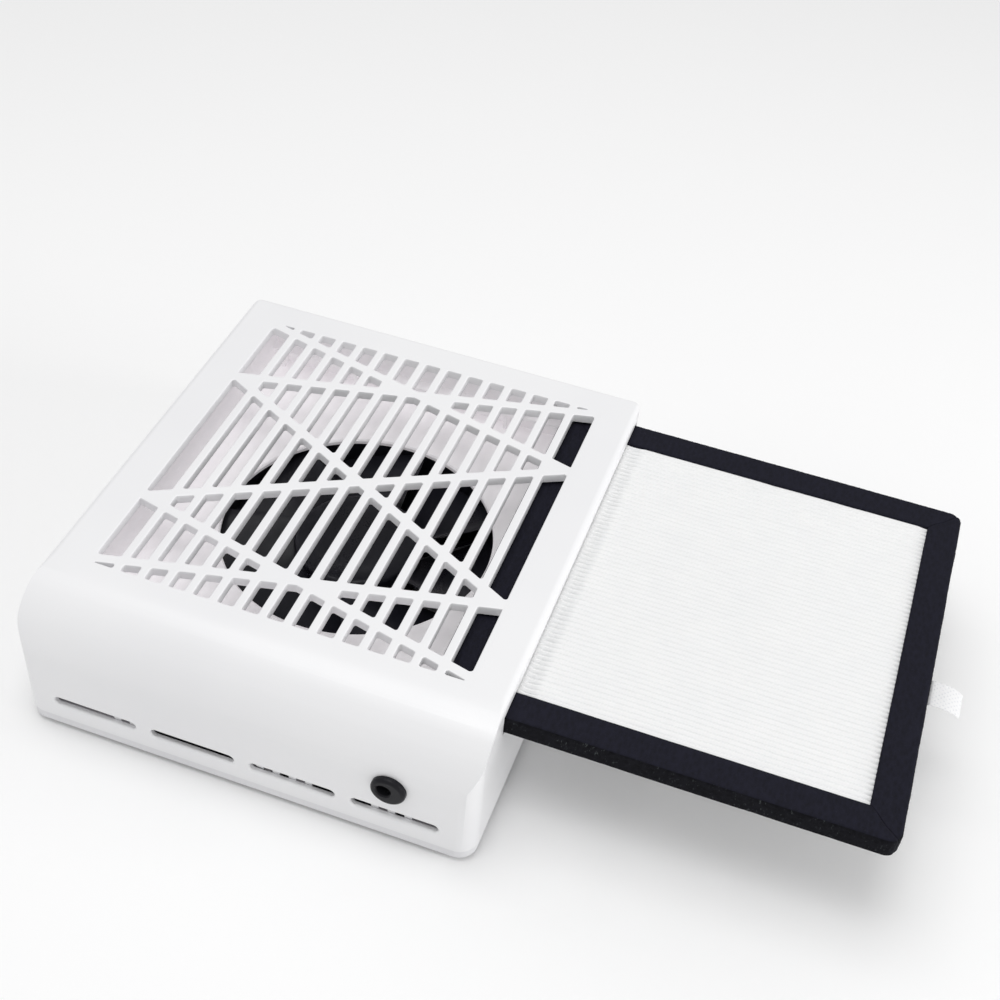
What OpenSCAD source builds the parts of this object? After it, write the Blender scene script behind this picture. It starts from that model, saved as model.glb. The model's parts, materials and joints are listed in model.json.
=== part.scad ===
// Nail dust collector: a low housing with a slatted top, a fan and a flat filter that slides out sideways.
// Origin: centre of the housing's footprint on the feet plane.
// +X is the way the filter pulls out, -Y the front, +Z up.
// All sizes are in millimetres.

/* [Housing] */
// Width of the cover, left to right
cover_w = 204; // [200:1:210]
// Depth of the cover, front to back
cover_d = 230; // [228:1:236]
// Height of the top face above the table
cover_top = 70; // [70:0.5:74]
// Height of the cover's lower edge above the table
cover_low = 7.6; // [7:0.1:8]
// Wall thickness of the cover
wall = 2.5; // [2.4:0.1:2.6]
// Thickness of the top plate
plate_t = 4.4; // [4:0.1:4.4]
// Radius of the cover's vertical corners
plan_r = 8.5; // [7:0.5:10]
// Radius of the top's left, right and back edges
edge_r = 3; // [2:0.5:4]
// Radius of the big curve from the top to the front
front_r = 31; // [28:1:31]

/* [Grille] */
// Number of straight slats
slat_count = 14; // [12:1:14]
// Distance from slat to slat
slat_pitch = 11.04; // [11:0.01:11.1]
// Width of a slat
slat_w = 3.75; // [3:0.25:5]
// Width of a crossing bar
bar_w = 4.6; // [3:0.1:5]
// Half the width of the grille opening
grille_hx = 83.5; // [82:0.5:84]
// Front edge of the grille opening
grille_y0 = -79.2; // [-80:0.2:-78]
// Back edge of the grille opening
grille_y1 = 98.8; // [98:0.2:99]
// Chamfer on the slats and crossing bars
chamfer = 0.6; // [0.3:0.1:0.8]

/* [Exhaust] */
// Length of an exhaust slot
slot_len = 37.8; // [34:0.2:40]
// Height of an exhaust slot
slot_h = 4.5; // [4:0.1:5]
// Height of the slots' centre line
slot_z = 17.8; // [17:0.1:19]
// Distance from slot to slot
slot_pitch = 45.2; // [44:0.2:46]
// Distance from rib to rib behind the slots
comb_pitch = 7.31; // [7:0.01:7.5]
// Width of a rib behind the slots
comb_w = 3.3; // [2:0.1:4]

/* [Power socket] */
// Sideways position of the plug hole
jack_x = 63.9; // [60:0.1:68]
// Height of the plug hole
jack_z = 35.9; // [34:0.1:36]
// How far the round flange's middle lies to the right of the plug hole
flange_dx = 1.6; // [0:0.1:1.6]
// How far the round flange's middle lies below the plug hole
flange_dz = 0.4; // [0:0.1:0.5]
// Radius of the plug hole
jack_bore_r = 3.1; // [2.9:0.1:3.3]
// Radius of the centre pin
jack_pin_r = 1.05; // [1:0.05:1.25]

/* [Deck and fan] */
// Height of the deck's top face
deck_top = 42.5; // [42:0.1:43]
// Thickness of the deck
deck_t = 2.5; // [2:0.1:2.5]
// Radius of the round inlet
inlet_r = 62; // [58:0.5:64]
// How far the fan's axis lies behind the middle
fan_y = 6; // [4:0.5:8]
// Width of the square fan frame
fan_w = 140; // [138:1:142]
// Height of the fan frame
fan_h = 25; // [24:0.5:25]
// Radius of the fan's hub
hub_r = 29; // [28.8:0.1:30]
// Number of blades
blade_count = 7; // [5:1:9]
// Outer radius of the blades
blade_r = 64.8; // [60:0.2:65]

/* [Filter] */
// Width and depth of the filter
filter_w = 190; // [188:1:190]
// Height of the filter
filter_h = 10; // [9:0.5:10]
// Width of the filter's frame bars
filter_bar = 14; // [12:0.5:16]
// Where the middle of the filter lies behind the middle of the housing
filter_y = 9; // [9:0.1:9.2]
// Left end of the filter as it stands, partly pulled out
filter_left = 68; // [40:1:80]
// Number of pleats in the paper
pleats = 61; // [40:1:70]

/* [Hidden] */
$fn = 48;
big = 400;
in_x = cover_w/2 - wall;
in_y = cover_d/2 - wall;
plate_low = cover_top - plate_t;
tray_low = 3;
tray_t = 3;
tray_in = 0.4;
rim_t = 2;
rim_gap = 0.15;
rim_top = 23;
rim_x = in_x - rim_gap;
rim_y = in_y - rim_gap;
deck_low = deck_top - deck_t;
fan_low = deck_low - fan_h;
boss_x = 95;
boss_y = [-100, 98];
boss_r = 4.2;
boss_low = 12;
hole_pitch = 124.5/2;
filter_z = 54;
filter_x0 = filter_left;
filter_x1 = filter_left + filter_w;
filter_cx = filter_left + filter_w/2;
rail_z = filter_z - 0.2;
rail_y0 = filter_y - filter_w/2 - 0.5;
rail_y1 = filter_y + filter_w/2 + 0.5;
rail_top = plate_low - 0.6;
stop_x = -86.3;
stop_t = 2.2;
node_y = [grille_y1 - 1.5, 54, -35.5, grille_y0 + 2.5];
foot_x = 80;
foot_y = 95;
shaft_r = 1.5;
tube_r = 5;
channel_x = 73.5;
channel_y = -85;
wire_z = tray_low + tray_t + 0.9;

// A rectangle with round corners, centred.
module round_rect(w, d, r) {
    union() {
        square([w - 2*r, d], center = true);
        square([w, d - 2*r], center = true);
        for (sx = [-1, 1])
            for (sy = [-1, 1])
                translate([sx*(w/2 - r), sy*(d/2 - r)])
                    circle(r = r);
    }
}

// What a square corner loses when it is rounded: the corner sits at the origin, sx and sy point out of it.
module corner_cut(r, sx, sy) {
    difference() {
        translate([sx > 0 ? -r : -1, sy > 0 ? -r : -1])
            square([r + 1, r + 1]);
        translate([-sx*r, -sy*r])
            circle(r = r);
    }
}

// A housing shape: round corners in plan, a big curve at the front top and small ones at the other three.
module shell(w, d, z0, z1, rp, re, rf) {
    intersection() {
        translate([0, 0, z0])
            linear_extrude(z1 - z0)
                round_rect(w, d, rp);
        translate([-w/2 - 1, 0, 0])
            rotate([90, 0, 90])
                linear_extrude(w + 2)
                    difference() {
                        translate([-d/2, z0])
                            square([d, z1 - z0]);
                        translate([-d/2, z1])
                            corner_cut(rf, -1, 1);
                        translate([d/2, z1])
                            corner_cut(re, 1, 1);
                    }
        translate([0, d/2 + 1, 0])
            rotate([90, 0, 0])
                linear_extrude(d + 2)
                    difference() {
                        translate([-w/2, z0])
                            square([w, z1 - z0]);
                        translate([-w/2, z1])
                            corner_cut(re, -1, 1);
                        translate([w/2, z1])
                            corner_cut(re, 1, 1);
                    }
    }
}

// A beam along +X from the origin with chamfered upper edges.
module beam(len, w, z0, z1, c) {
    rotate([90, 0, 90])
        linear_extrude(len)
            polygon([[-w/2, z0], [w/2, z0], [w/2, z1 - c], [w/2 - c, z1], [-w/2 + c, z1], [-w/2, z1 - c]]);
}

// A round-ended slot through the front wall.
module front_slot(x, z, len, h) {
    translate([x, -cover_d/2 + wall + 1, z])
        rotate([90, 0, 0])
            linear_extrude(wall + 3)
                union() {
                    square([len - h, h], center = true);
                    translate([-(len - h)/2, 0])
                        circle(r = h/2);
                    translate([(len - h)/2, 0])
                        circle(r = h/2);
                }
}

module top_cover() {
    color("#f2f2f4")
        difference() {
            union() {
                difference() {
                    shell(cover_w, cover_d, cover_low, cover_top, plan_r, edge_r, front_r);
                    shell(2*in_x, 2*in_y, cover_low - 1, plate_low, plan_r - wall, 1, front_r - wall);
                }
                for (sx = [-1, 1])
                    for (y = boss_y) {
                        translate([sx*boss_x, y, boss_low])
                            cylinder(r = boss_r, h = deck_low - boss_low);
                        translate([sx > 0 ? boss_x : -in_x - 0.5, y - 1.5, boss_low])
                            cube([in_x + 0.5 - boss_x, 3, deck_low - boss_low]);
                    }
            }
            translate([-grille_hx, grille_y0, plate_low - 1])
                cube([2*grille_hx, grille_y1 - grille_y0, plate_t + 2]);
            translate([in_x - 1, rail_y0 - 0.5, filter_z - 0.7])
                cube([wall + 2, rail_y1 - rail_y0 + 1, filter_h + 1.7]);
            for (i = [-1.5 : 1 : 1.5])
                front_slot(i*slot_pitch, slot_z, slot_len, slot_h);
            translate([jack_x, -cover_d/2 + wall + 1, jack_z])
                rotate([90, 0, 0])
                    cylinder(r = 5.65, h = wall + 2);
            for (sx = [-1, 1])
                for (y = boss_y) {
                    translate([sx*boss_x, y, boss_low - 1])
                        cylinder(r = 1.35, h = 13);
                    translate([sx*boss_x, y, deck_low - 11])
                        cylinder(r = 1.35, h = 12);
                }
        }
}

// The slats and the crossing bars, flush with the cover's top face.
module grille() {
    color("#f4f4f6")
        intersection() {
            translate([-grille_hx, grille_y0, plate_low - 1])
                cube([2*grille_hx, grille_y1 - grille_y0, plate_t + 2]);
            union() {
                for (i = [0 : slat_count - 1])
                    translate([(i - (slat_count - 1)/2)*slat_pitch, grille_y0 - 1, 0])
                        rotate([0, 0, 90])
                            beam(grille_y1 - grille_y0 + 2, slat_w, plate_low, cover_top, chamfer);
                for (pair = [[0, 1], [1, 0], [1, 2], [2, 1], [2, 3], [3, 2]])
                    cross_bar(node_y[pair[0]], node_y[pair[1]]);
            }
        }
}

// A slanted bar from the left edge at ya to the right edge at yb.
module cross_bar(ya, yb) {
    run = 2*grille_hx;
    translate([-grille_hx, ya, 0])
        rotate([0, 0, atan2(yb - ya, run)])
            translate([-5, 0, 0])
                beam(norm([run, yb - ya]) + 10, bar_w, plate_low, cover_top, chamfer);
}

// The bottom: a floor, a low rim inside the cover, the comb behind the slots and the pillars.
module base_tray() {
    color("#e9e9ec")
        difference() {
            union() {
                translate([0, 0, tray_low])
                    linear_extrude(tray_t)
                        round_rect(cover_w - 2*tray_in, cover_d - 2*tray_in, plan_r - tray_in);
                difference() {
                    union() {
                        translate([0, 0, tray_low])
                            linear_extrude(cover_low - tray_low)
                                round_rect(cover_w - 2*tray_in, cover_d - 2*tray_in, plan_r - tray_in);
                        translate([0, 0, tray_low])
                            linear_extrude(rim_top - tray_low)
                                round_rect(2*rim_x, 2*rim_y, plan_r - wall - rim_gap);
                    }
                    translate([0, 0, tray_low - 1])
                        linear_extrude(rim_top)
                            round_rect(2*rim_x - 2*rim_t, 2*rim_y - 2*rim_t, 3.6);
                    translate([0, 0, rim_top - 2])
                        linear_extrude(4)
                            round_rect(2*rim_x - 2*rim_t, 2*rim_y - 2*rim_t, 3.6);
                    for (sx = [-1, 1])
                        for (y = boss_y)
                            translate([sx*(in_x - 4) - 6, y - 5.5, tray_low + tray_t + 2])
                                cube([12, 11, rim_top]);
                    translate([-89, -rim_y - 1, 9])
                        cube([178, rim_t + 2, rim_top - 2 - 9]);
                }
                for (i = [0 : 18])
                    translate([74.7 - comb_w - i*comb_pitch, -rim_y, 8.5])
                        cube([comb_w, rim_t, rim_top - 2 - 8]);
                for (sx = [-1, 1])
                    for (y = boss_y)
                        translate([sx*boss_x - sx*1.2, y, tray_low])
                            cylinder(r = 4.2, h = boss_low - tray_low);
                for (sx = [-1, 1])
                    for (sy = [-1, 1])
                        translate([sx*hole_pitch, fan_y + sy*hole_pitch, tray_low])
                            cylinder(r = 6, h = fan_low - tray_low);
                for (x = [channel_x - 4, channel_x + 2.8])
                    translate([x, channel_y, tray_low + 1])
                        cube([1.2, 25, 4.6]);
            }
            for (sx = [-1, 1])
                for (y = boss_y) {
                    translate([sx*boss_x, y, tray_low - 1])
                        cylinder(r = 1.6, h = 20);
                    translate([sx*boss_x, y, tray_low - 1])
                        cylinder(r = 3.1, h = 4.6);
                }
            for (sx = [-1, 1])
                for (sy = [-1, 1]) {
                    translate([sx*hole_pitch, fan_y + sy*hole_pitch, tray_low - 1])
                        cylinder(r = 2.15, h = 30);
                    translate([sx*hole_pitch, fan_y + sy*hole_pitch, tray_low - 1])
                        cylinder(r = 3.7, h = 6);
                }
        }
}

// Four round feet, pressed against the floor of the tray.
module rubber_feet() {
    color("#3a3a3c")
        for (sx = [-1, 1])
            for (sy = [-1, 1])
                translate([sx*foot_x, sy*foot_y, 0]) {
                    cylinder(r1 = 7.2, r2 = 8, h = 0.8);
                    translate([0, 0, 0.8])
                        cylinder(r = 8, h = tray_low - 0.8);
                }
}

// A cross-head screw pointing up from the origin, its head below.
module screw(head_r, head_h, r, len) {
    difference() {
        union() {
            translate([0, 0, -head_h])
                cylinder(r = head_r, h = head_h);
            cylinder(r = r, h = len);
        }
        for (a = [0, 90])
            rotate([0, 0, a])
                translate([-head_r*0.6, -0.4, -head_h - 1])
                    cube([head_r*1.2, 0.8, 1 + head_h*0.5]);
    }
}

module base_screws() {
    color("#8d9096")
        for (sx = [-1, 1])
            for (y = boss_y)
                translate([sx*boss_x, y, tray_low + 3.6])
                    screw(2.8, 2, 1.3, 16);
}

module deck_screws() {
    color("#8d9096")
        for (sx = [-1, 1])
            for (y = boss_y)
                translate([sx*boss_x, y, deck_top])
                    rotate([180, 0, 0])
                        screw(2.8, 2, 1.3, 11);
}

module fan_screws() {
    color("#8d9096")
        for (sx = [-1, 1])
            for (sy = [-1, 1])
                translate([sx*hole_pitch, fan_y + sy*hole_pitch, tray_low + 5])
                    screw(3.4, 2.2, 1.9, 16);
}

// The shelf that covers the fan, with a round inlet.
module fan_deck() {
    color("#eeeef0")
        difference() {
            translate([0, 0.3, deck_low])
                linear_extrude(deck_t)
                    round_rect(2*in_x - 0.5, 2*in_y - 1.2, 6);
            translate([0, fan_y, deck_low - 1])
                cylinder(r = inlet_r, h = deck_t + 2);
            translate([0, fan_y, deck_top - 0.8])
                cylinder(r1 = inlet_r, r2 = inlet_r + 1.2, h = 1.2);
            translate([jack_x - 9, -in_y - 1, deck_low - 1])
                cube([18, 15, deck_t + 2]);
            for (sx = [-1, 1])
                for (y = boss_y)
                    translate([sx*boss_x, y, deck_low - 1])
                        cylinder(r = 1.6, h = deck_t + 2);
        }
}

// The wall that the filter stops against, at the left end of its chamber.
module filter_stop_wall() {
    color("#eeeef0")
        translate([stop_x - stop_t, rail_y0 - 3.5, deck_top])
            cube([stop_t, rail_y1 - rail_y0 + 7, plate_low - 0.1 - deck_top]);
}

// A guide wall with a ledge on ribs; s = 1 puts the ledge towards the back.
module rail(y, s) {
    len = in_x - 0.3 - stop_x;
    translate([stop_x, y, 0]) {
        translate([0, s > 0 ? -3.5 : 0, deck_top])
            cube([len, 3.5, rail_top - deck_top]);
        translate([0, s > 0 ? 0 : -6, rail_z - 2])
            cube([len, 6, 2]);
        for (i = [0 : 4])
            translate([4 + i*(len - 26)/4, s > 0 ? 0 : -5, deck_top])
                cube([2, 5, rail_z - 2 - deck_top]);
    }
}

module filter_rail_front() {
    color("#ebebee")
        rail(rail_y0, 1);
}

module filter_rail_back() {
    color("#ebebee")
        rail(rail_y1, -1);
}

// The fan's square frame with its duct, motor seat, struts and bearing tube.
module fan_frame() {
    color("#1c1c20")
        translate([0, fan_y, fan_low])
            difference() {
                union() {
                    difference() {
                        union() {
                            linear_extrude(4)
                                round_rect(fan_w, fan_w, 6);
                            translate([0, 0, fan_h - 4])
                                linear_extrude(4)
                                    round_rect(fan_w, fan_w, 6);
                            cylinder(r = 69, h = fan_h);
                            for (sx = [-1, 1])
                                for (sy = [-1, 1])
                                    translate([sx*hole_pitch, sy*hole_pitch, 0])
                                        cylinder(r = 4.6, h = fan_h);
                        }
                        translate([0, 0, -1])
                            cylinder(r = 66.5, h = fan_h + 2);
                    }
                    cylinder(r = 27, h = 2.5);
                    for (a = [45 : 90 : 315])
                        rotate([0, 0, a])
                            translate([24, -3, 0])
                                cube([43.5, 6, 3]);
                    cylinder(r = 6.6, h = 6);
                    cylinder(r = tube_r, h = 18);
                }
                translate([0, 0, 4.5])
                    cylinder(r = 4, h = fan_h);
                for (sx = [-1, 1])
                    for (sy = [-1, 1])
                        translate([sx*hole_pitch, sy*hole_pitch, -1])
                            cylinder(r = 2.15, h = fan_h + 2);
                for (s = [-1, 1])
                    translate([15, 3*s, -1])
                        cylinder(r = 1.1, h = 5);
            }
}

// One broad, slanting blade; it overlaps the next when seen from above.
module blade() {
    span = 58;
    n = 8;
    m = 3;
    t = 1.6;
    r0 = hub_r - 0.6;
    function rad(j) = r0 + (blade_r - r0)*j/m;
    function ang(i, j) = (i/n - 0.5)*span + 9*j/m;
    function top(i, j) = 22.6 - (i/n)*(17.2 - 1.5*j/m) - 0.9*sin(180*i/n);
    function pt(i, j, k) = [rad(j)*cos(ang(i, j)), rad(j)*sin(ang(i, j)), top(i, j) - k*t];
    pts = [for (k = [0, 1]) for (j = [0 : m]) for (i = [0 : n]) pt(i, j, k)];
    w = n + 1;
    q = w*(m + 1);
    upper = [for (j = [0 : m - 1]) for (i = [0 : n - 1]) for (f = [0, 1])
        f == 0 ? [j*w + i, (j + 1)*w + i, (j + 1)*w + i + 1] : [j*w + i, (j + 1)*w + i + 1, j*w + i + 1]];
    lower = [for (f = upper) [q + f[0], q + f[2], q + f[1]]];
    inner = [for (i = [0 : n - 1]) for (f = [0, 1]) f == 0 ? [i, i + 1, q + i + 1] : [i, q + i + 1, q + i]];
    o = m*w;
    outer = [for (i = [0 : n - 1]) for (f = [0, 1])
        f == 0 ? [o + i, q + o + i + 1, o + i + 1] : [o + i, q + o + i, q + o + i + 1]];
    lead = [for (j = [0 : m - 1]) for (f = [0, 1])
        f == 0 ? [j*w, q + (j + 1)*w, (j + 1)*w] : [j*w, q + j*w, q + (j + 1)*w]];
    trail = [for (j = [0 : m - 1]) for (f = [0, 1])
        f == 0 ? [j*w + n, (j + 1)*w + n, q + (j + 1)*w + n] : [j*w + n, q + (j + 1)*w + n, q + j*w + n]];
    sides = concat(upper, lower, inner, outer, lead, trail);
    polyhedron(points = pts, faces = [for (f = sides) [f[2], f[1], f[0]]]);
}

// The hub cup with its blades, open below.
module fan_rotor() {
    color("#18181c")
        translate([0, fan_y, fan_low])
            difference() {
                union() {
                    rotate_extrude()
                        difference() {
                            translate([0, 3.3])
                                square([hub_r, 19.7]);
                            translate([hub_r, 23])
                                corner_cut(2.5, 1, 1);
                        }
                    for (i = [0 : blade_count - 1])
                        rotate([0, 0, i*360/blade_count])
                            blade();
                }
                difference() {
                    translate([0, 0, 2])
                        cylinder(r = hub_r - 1.6, h = 19);
                    translate([0, 0, 18.4])
                        cylinder(r = 4, h = 3);
                }
                translate([0, 0, 17])
                    cylinder(r = shaft_r, h = 5);
            }
}

// The steel ring inside the hub.
module rotor_yoke() {
    color("#9a9ca0")
        translate([0, fan_y, fan_low + 4.2])
            difference() {
                cylinder(r = hub_r - 1.6, h = 15.8);
                translate([0, 0, -1])
                    cylinder(r = hub_r - 2.8, h = 18);
            }
}

module rotor_magnet() {
    color("#3c3a3a")
        translate([0, fan_y, fan_low + 4.8])
            difference() {
                cylinder(r = hub_r - 2.8, h = 13.6);
                translate([0, 0, -1])
                    cylinder(r = hub_r - 5.3, h = 16);
            }
}

module rotor_shaft() {
    color("#c8cacd")
        translate([0, fan_y, fan_low + 4.9])
            cylinder(r = shaft_r, h = 17.1);
}

// A small bearing seated in the tube.
module bearing(z) {
    translate([0, fan_y, fan_low + z])
        difference() {
            cylinder(r = 4, h = 4);
            translate([0, 0, -1])
                cylinder(r = shaft_r + 0.03, h = 6);
        }
}

module upper_bearing() {
    color("#b8babd")
        bearing(13.8);
}

module lower_bearing() {
    color("#b8babd")
        bearing(5.4);
}

// Six iron poles round the bearing tube.
module stator_core() {
    color("#7d7f84")
        translate([0, fan_y, fan_low + 6])
            linear_extrude(9)
                difference() {
                    union() {
                        circle(r = 9);
                        for (i = [0 : 5])
                            rotate([0, 0, 60*i])
                                translate([6, -2])
                                    square([15.4, 4]);
                        difference() {
                            circle(r = hub_r - 6.2);
                            circle(r = hub_r - 8.4);
                            for (i = [0 : 5])
                                rotate([0, 0, 60*i + 30])
                                    translate([10, -2])
                                        square([20, 4]);
                        }
                    }
                    circle(r = tube_r);
                }
}

// One copper coil round each pole.
module stator_windings() {
    color("#b06a3a")
        translate([0, fan_y, fan_low + 6])
            for (i = [0 : 5])
                rotate([0, 0, 60*i])
                    difference() {
                        translate([11, -3.6, -1.2])
                            cube([8.6, 7.2, 11.4]);
                        translate([10, -2, 0])
                            cube([12, 4, 9]);
                    }
}

// The driver board on the motor seat, with a few flat parts.
module motor_board() {
    color("#2c5a3c")
        translate([0, fan_y, fan_low + 2.5])
            difference() {
                union() {
                    cylinder(r = 21, h = 1.4);
                    translate([13, -14, 1.4])
                        cube([3, 4, 0.6]);
                    translate([-16, 10, 1.4])
                        cube([4, 3, 0.6]);
                }
                translate([0, 0, -1])
                    cylinder(r = 6.7, h = 4);
            }
}

// The power socket's body: a flange outside the front wall and a barrel through it.
module socket_body() {
    color("#1a1a1c")
        translate([jack_x, -cover_d/2, jack_z])
            rotate([-90, 0, 0])
                difference() {
                    union() {
                        translate([flange_dx, flange_dz, -2.7])
                            rotate_extrude()
                                difference() {
                                    square([7.5, 2.7]);
                                    translate([7.5, 0])
                                        corner_cut(1.6, 1, -1);
                                }
                        cylinder(r = 5.6, h = 12);
                    }
                    translate([0, 0, -3.7])
                        cylinder(r = jack_bore_r, h = 11);
                    translate([0, 0, -3.3])
                        cylinder(r1 = jack_bore_r + 1.2, r2 = jack_bore_r, h = 1.2);
                    cylinder(r = jack_pin_r, h = 13);
                }
}

module socket_pin() {
    color("#c9cacc")
        translate([jack_x, -cover_d/2, jack_z])
            rotate([-90, 0, 0])
                union() {
                    translate([0, 0, 0.9])
                        cylinder(r = jack_pin_r, h = 11.1);
                    translate([0, 0, 0.3])
                        cylinder(r1 = jack_pin_r*0.45, r2 = jack_pin_r, h = 0.6);
                }
}

// The two solder tabs behind the socket.
module socket_tabs() {
    color("#c9b27a")
        for (x = [-3, 3])
            translate([jack_x + x - 1, -cover_d/2 + 12, jack_z - 4])
                cube([2, 4, 0.6]);
}

// The nut that clamps the socket against the inside of the wall.
module socket_nut() {
    color("#b4b6ba")
        translate([jack_x, -cover_d/2 + wall + 1, jack_z])
            rotate([-90, 0, 0])
                difference() {
                    cylinder(r = 7.8, h = 2, $fn = 6);
                    translate([0, 0, -1])
                        cylinder(r = 5.6, h = 4);
                }
}

// A round wire through the given points.
module wire(pts, r) {
    for (i = [0 : len(pts) - 2]) {
        d = pts[i + 1] - pts[i];
        translate(pts[i])
            rotate([0, acos(d[2]/norm(d)), atan2(d[1], d[0])])
                cylinder(r = r, h = norm(d));
    }
    for (i = [1 : len(pts) - 2])
        translate(pts[i])
            sphere(r = r + 0.2);
}

// Where one motor wire runs, from its socket tab down, through the channel and in under the hub to the board.
function wire_route(s) = [
    [jack_x + 3*s, -cover_d/2 + 15, jack_z - 4.01],
    [jack_x + 3*s, -cover_d/2 + 15, 12],
    [channel_x + 1.2*s, -cover_d/2 + 24, wire_z],
    [channel_x + 1.2*s, -40 + 1.5*s, wire_z],
    [34 + 1.7*s, fan_y - 9 + 1.9*s, wire_z],
    [18, fan_y + 3*s, fan_low - 1.2],
    [15, fan_y + 3*s, fan_low - 1.2],
    [15, fan_y + 3*s, fan_low + 2.5]];

module wire_positive() {
    color("#a83232")
        wire(wire_route(1), 0.8);
}

module wire_negative() {
    color("#222226")
        wire(wire_route(-1), 0.8);
}

// One mitred bar of the filter's frame: a is the side it lies on, counted anticlockwise from +X.
module filter_bar_on(a) {
    translate([filter_cx, filter_y, filter_z])
        linear_extrude(filter_h)
            intersection() {
                difference() {
                    round_rect(filter_w, filter_w, 5.5);
                    square([filter_w - 2*filter_bar, filter_w - 2*filter_bar], center = true);
                }
                rotate([0, 0, a])
                    polygon([[0, 0], [filter_w, -filter_w], [filter_w, filter_w]]);
            }
}

module filter_bar_right() {
    color("#20202a")
        filter_bar_on(0);
}

module filter_bar_back() {
    color("#20202a")
        filter_bar_on(90);
}

module filter_bar_left() {
    color("#20202a")
        filter_bar_on(180);
}

module filter_bar_front() {
    color("#20202a")
        filter_bar_on(270);
}

// The pleated paper, folded along X and glued between the bars.
module filter_media() {
    half = filter_w/2 - filter_bar;
    step = 2*half/pleats;
    lo = filter_z + 1;
    hi = filter_z + filter_h - 1;
    t = 0.5;
    ridge = [for (i = [0 : pleats - 1]) for (k = [0, 1]) [-half + (i + k*0.5)*step, k == 0 ? lo : hi]];
    top_line = concat([for (p = ridge) [p[0], p[1] + t]], [[half, lo + t]]);
    low_line = concat([[half, lo]], [for (i = [2*pleats - 1 : -1 : 0]) ridge[i]]);
    color("#f4f4f2")
        translate([filter_cx - half, filter_y, 0])
            rotate([90, 0, 90])
                linear_extrude(2*half)
                    polygon(concat(top_line, low_line));
}

// A ring sector in the plane: centre c, radii r0 and r1, from angle a to angle b, less than 90 degrees.
module sector(c, r0, r1, a, b) {
    translate(c)
        intersection() {
            difference() {
                circle(r = r1);
                circle(r = r0);
            }
            polygon(concat([[0, 0]], [for (t = [a, (a + b)/2, b]) 2*r1*[cos(t), sin(t)]]));
        }
}

// The soft tab glued to the end of the filter; it stands out and curls down.
module pull_tab() {
    t = 0.6;
    z = filter_z + 4.2;
    color("#ececee")
        translate([0, -2 + 7, 0])
            rotate([90, 0, 0])
                linear_extrude(14)
                    union() {
                        translate([filter_x1, filter_z + 0.6])
                            square([t, z - 1.8 - filter_z - 0.6]);
                        sector([filter_x1 + 1.8, z - 1.8], 1.2, 1.8, 90, 180);
                        translate([filter_x1 + 1.8, z - t])
                            square([4, t]);
                        sector([filter_x1 + 5.8, z - 16], 15.4, 16, 57, 90);
                    }
}

top_cover();
grille();
base_tray();
rubber_feet();
base_screws();
fan_deck();
deck_screws();
filter_stop_wall();
filter_rail_front();
filter_rail_back();
fan_frame();
fan_screws();
fan_rotor();
rotor_yoke();
rotor_magnet();
rotor_shaft();
upper_bearing();
lower_bearing();
stator_core();
stator_windings();
motor_board();
socket_body();
socket_pin();
socket_tabs();
socket_nut();
wire_positive();
wire_negative();
filter_bar_front();
filter_bar_back();
filter_bar_left();
filter_bar_right();
filter_media();
pull_tab();
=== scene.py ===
# Looks for the nail dust collector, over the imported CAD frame.
# Metres; +X is the way the filter pulls out, -Y the front.
import json
import math
import random

import bmesh
import bpy
import numpy as np
from mathutils import Matrix, Vector, noise
from mathutils.geometry import delaunay_2d_cdt

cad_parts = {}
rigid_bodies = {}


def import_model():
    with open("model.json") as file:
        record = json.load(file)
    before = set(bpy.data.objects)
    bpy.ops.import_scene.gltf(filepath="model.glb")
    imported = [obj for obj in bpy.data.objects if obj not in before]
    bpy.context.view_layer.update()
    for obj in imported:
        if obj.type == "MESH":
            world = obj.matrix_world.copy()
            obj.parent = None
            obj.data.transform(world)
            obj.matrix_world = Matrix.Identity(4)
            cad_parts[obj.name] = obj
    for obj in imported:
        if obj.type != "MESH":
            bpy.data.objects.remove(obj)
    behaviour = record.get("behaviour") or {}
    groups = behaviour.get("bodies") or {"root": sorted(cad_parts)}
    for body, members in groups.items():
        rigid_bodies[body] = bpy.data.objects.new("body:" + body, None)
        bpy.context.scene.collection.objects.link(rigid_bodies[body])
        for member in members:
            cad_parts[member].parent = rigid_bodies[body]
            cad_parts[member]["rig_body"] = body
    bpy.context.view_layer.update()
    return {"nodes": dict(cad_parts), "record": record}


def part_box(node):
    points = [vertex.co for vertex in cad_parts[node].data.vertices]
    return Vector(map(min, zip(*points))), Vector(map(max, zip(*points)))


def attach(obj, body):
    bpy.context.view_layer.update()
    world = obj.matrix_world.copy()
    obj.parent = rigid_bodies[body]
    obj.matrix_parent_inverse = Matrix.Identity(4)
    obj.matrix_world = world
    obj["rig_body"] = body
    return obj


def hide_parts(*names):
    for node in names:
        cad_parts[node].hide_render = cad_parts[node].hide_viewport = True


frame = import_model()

NODES = frame["nodes"]
SCENE = bpy.context.scene
MM = 0.001
WELD = 2e-6  # CAD corners closer than this are one point
SHARP = 34  # degrees between two faces that make an edge to round off
LEAST_HOLE, LEAST_MIDDLE_HOLE = 5.4e-6, 8.5e-6  # square metres; smaller grille holes are closed


# ---------- camera and light ----------

# The camera as solved from the photograph: degrees, millimetres on the sensor, and metres.
AZIMUTH, ELEVATION, ROLL = 15.688, 43.663, 5.358
LENS, SENSOR = 54.59, 36
CAMERA_PLACE = (0.1925, -0.4452, 0.5342)


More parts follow.
